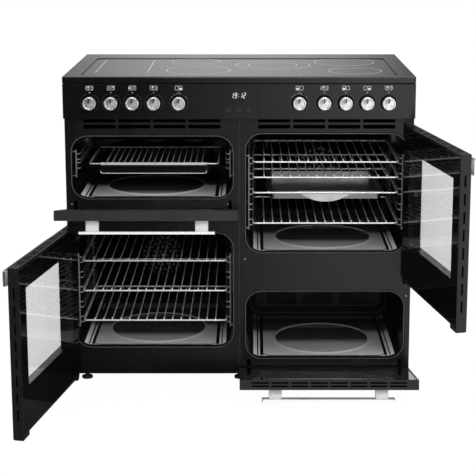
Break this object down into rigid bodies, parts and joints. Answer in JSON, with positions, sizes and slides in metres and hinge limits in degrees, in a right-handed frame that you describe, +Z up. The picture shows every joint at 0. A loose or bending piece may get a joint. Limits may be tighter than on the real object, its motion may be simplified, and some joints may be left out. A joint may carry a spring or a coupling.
{
  "type": "range cooker",
  "caption": "Wide freestanding induction range cooker with a grill, three oven cavities, drop-down and side-hinged doors, sliding shelves and turning knobs.",
  "frame": {"origin": "centre of the footprint of the cooker with its doors open as pictured, on the floor", "axes": "+Z up, -Y towards the user in front, +X to the right seen from the front"},
  "size_m": [1.2254, 1.0719, 0.91],
  "materials": {
    "black_enamel": "gloss",
    "cavity_enamel": "satin",
    "galvanised": "satin",
    "hob_edge": "satin",
    "ceramic_glass": "gloss",
    "door_glass": "gloss",
    "chrome": "polished",
    "satin_chrome": "satin",
    "tin": "satin",
    "copper": "satin",
    "switch_plastic": "matte",
    "black_plastic": "matte",
    "seal_rubber": "matte",
    "element": "matte",
    "lamp_glass": "gloss",
    "motor": "satin"
  },
  "bodies": {
    "cooker": {"side_panels": "black_enamel", "rear_panel": "galvanised", "base_tray": "galvanised", "levelling_feet": "black_plastic", "centre_divider": "galvanised", "hob_frame": "hob_edge", "hob_glass": "ceramic_glass", "induction_coils": "copper", "control_fascia": "black_enamel", "display_module": "ceramic_glass", "rotary_switches": "switch_plastic", "front_frame_left": "black_enamel", "front_frame_right": "black_enamel", "grill_cavity": "cavity_enamel", "main_cavity": "cavity_enamel", "tall_cavity": "cavity_enamel", "slow_cavity": "cavity_enamel", "door_seals": "seal_rubber", "grill_side_racks": "chrome", "oven_side_racks": "chrome", "oven_lamps": "lamp_glass", "heating_elements": "element", "fan_covers": "cavity_enamel", "fan_motors": "motor", "terminal_box": "black_plastic", "stability_bracket": "galvanised"},
    "knob_1": {"knob_1": "satin_chrome"},
    "knob_2": {"knob_2": "satin_chrome"},
    "knob_3": {"knob_3": "satin_chrome"},
    "knob_4": {"knob_4": "satin_chrome"},
    "knob_5": {"knob_5": "satin_chrome"},
    "knob_6": {"knob_6": "satin_chrome"},
    "knob_7": {"knob_7": "satin_chrome"},
    "knob_8": {"knob_8": "satin_chrome"},
    "knob_9": {"knob_9": "satin_chrome"},
    "knob_10": {"knob_10": "satin_chrome"},
    "grill_door": {"grill_door_frame": "black_enamel", "grill_door_glass": "door_glass", "grill_door_handle": "chrome"},
    "main_door": {"main_door_frame": "black_enamel", "main_door_glasses": "door_glass", "main_door_handle": "chrome"},
    "tall_door": {"tall_door_frame": "black_enamel", "tall_door_glasses": "door_glass", "tall_door_handle": "chrome"},
    "slow_door": {"slow_door_frame": "black_enamel", "slow_door_glasses": "door_glass", "slow_door_handle": "chrome"},
    "main_shelf_low": {"main_shelf_low": "chrome"},
    "main_shelf_middle": {"main_shelf_middle": "chrome"},
    "main_shelf_top": {"main_shelf_top": "chrome"},
    "tall_shelf_low": {"tall_shelf_low": "chrome"},
    "tall_shelf_middle": {"tall_shelf_middle": "chrome"},
    "tall_shelf_top": {"tall_shelf_top": "chrome"},
    "tin_set": {"tin_carrier": "chrome", "roasting_tin": "tin"},
    "grill_pan_set": {"grill_pan": "cavity_enamel", "grill_rack": "chrome"},
    "main_fan": {"main_fan_blades": "galvanised"},
    "tall_fan": {"tall_fan_blades": "galvanised"}
  },
  "joints": [
    {"name": "knob_1_turn", "type": "hinge", "parent": "cooker", "child": "knob_1", "pos_m": [-0.4225, -0.06446, 0.835], "axis": [0, 1, 0], "range_deg": [0, 270]},
    {"name": "knob_2_turn", "type": "hinge", "parent": "cooker", "child": "knob_2", "pos_m": [-0.362, -0.06446, 0.835], "axis": [0, 1, 0], "range_deg": [0, 270]},
    {"name": "knob_3_turn", "type": "hinge", "parent": "cooker", "child": "knob_3", "pos_m": [-0.3015, -0.06446, 0.835], "axis": [0, 1, 0], "range_deg": [0, 270]},
    {"name": "knob_4_turn", "type": "hinge", "parent": "cooker", "child": "knob_4", "pos_m": [-0.241, -0.06446, 0.835], "axis": [0, 1, 0], "range_deg": [0, 270]},
    {"name": "knob_5_turn", "type": "hinge", "parent": "cooker", "child": "knob_5", "pos_m": [-0.1705, -0.06446, 0.835], "axis": [0, 1, 0], "range_deg": [0, 270]},
    {"name": "knob_6_turn", "type": "hinge", "parent": "cooker", "child": "knob_6", "pos_m": [0.1705, -0.06446, 0.835], "axis": [0, 1, 0], "range_deg": [0, 270]},
    {"name": "knob_7_turn", "type": "hinge", "parent": "cooker", "child": "knob_7", "pos_m": [0.241, -0.06446, 0.835], "axis": [0, 1, 0], "range_deg": [0, 270]},
    {"name": "knob_8_turn", "type": "hinge", "parent": "cooker", "child": "knob_8", "pos_m": [0.3015, -0.06446, 0.835], "axis": [0, 1, 0], "range_deg": [0, 270]},
    {"name": "knob_9_turn", "type": "hinge", "parent": "cooker", "child": "knob_9", "pos_m": [0.362, -0.06446, 0.835], "axis": [0, 1, 0], "range_deg": [0, 270]},
    {"name": "knob_10_turn", "type": "hinge", "parent": "cooker", "child": "knob_10", "pos_m": [0.4225, -0.06446, 0.835], "axis": [0, 1, 0], "range_deg": [0, 270]},
    {"name": "main_door_hinge", "type": "hinge", "parent": "cooker", "child": "main_door", "pos_m": [-0.488, -0.05246, 0.211], "axis": [0, 0, -1], "range_deg": [-100.4, 0]},
    {"name": "tall_door_hinge", "type": "hinge", "parent": "cooker", "child": "tall_door", "pos_m": [0.488, -0.05246, 0.505], "axis": [0, 0, 1], "range_deg": [-100.4, 0]},
    {"name": "grill_door_hinge", "type": "hinge", "parent": "cooker", "child": "grill_door", "pos_m": [-0.25, -0.05246, 0.509], "axis": [1, 0, 0], "range_deg": [-78.5, 0]},
    {"name": "slow_door_hinge", "type": "hinge", "parent": "cooker", "child": "slow_door", "pos_m": [0.25, -0.05246, 0.03], "axis": [1, 0, 0], "range_deg": [-78.5, 0]},
    {"name": "main_shelf_low_slide", "type": "slide", "parent": "cooker", "child": "main_shelf_low", "axis": [0, -1, 0], "range_m": [0, 0.3]},
    {"name": "main_shelf_middle_slide", "type": "slide", "parent": "cooker", "child": "main_shelf_middle", "axis": [0, -1, 0], "range_m": [0, 0.3]},
    {"name": "main_shelf_top_slide", "type": "slide", "parent": "cooker", "child": "main_shelf_top", "axis": [0, -1, 0], "range_m": [0, 0.3]},
    {"name": "tall_shelf_low_slide", "type": "slide", "parent": "cooker", "child": "tall_shelf_low", "axis": [0, -1, 0], "range_m": [0, 0.3]},
    {"name": "tall_shelf_middle_slide", "type": "slide", "parent": "cooker", "child": "tall_shelf_middle", "axis": [0, -1, 0], "range_m": [0, 0.3]},
    {"name": "tall_shelf_top_slide", "type": "slide", "parent": "cooker", "child": "tall_shelf_top", "axis": [0, -1, 0], "range_m": [0, 0.3]},
    {"name": "tin_slide", "type": "slide", "parent": "cooker", "child": "tin_set", "axis": [0, -1, 0], "range_m": [0, 0.3]},
    {"name": "grill_pan_slide", "type": "slide", "parent": "cooker", "child": "grill_pan_set", "axis": [0, -1, 0], "range_m": [0, 0.25]},
    {"name": "main_fan_spin", "type": "hinge", "parent": "cooker", "child": "main_fan", "pos_m": [-0.25, 0.39704, 0.2775], "axis": [0, 1, 0], "continuous": true},
    {"name": "tall_fan_spin", "type": "hinge", "parent": "cooker", "child": "tall_fan", "pos_m": [0.25, 0.39704, 0.567], "axis": [0, 1, 0], "continuous": true}
  ]
}
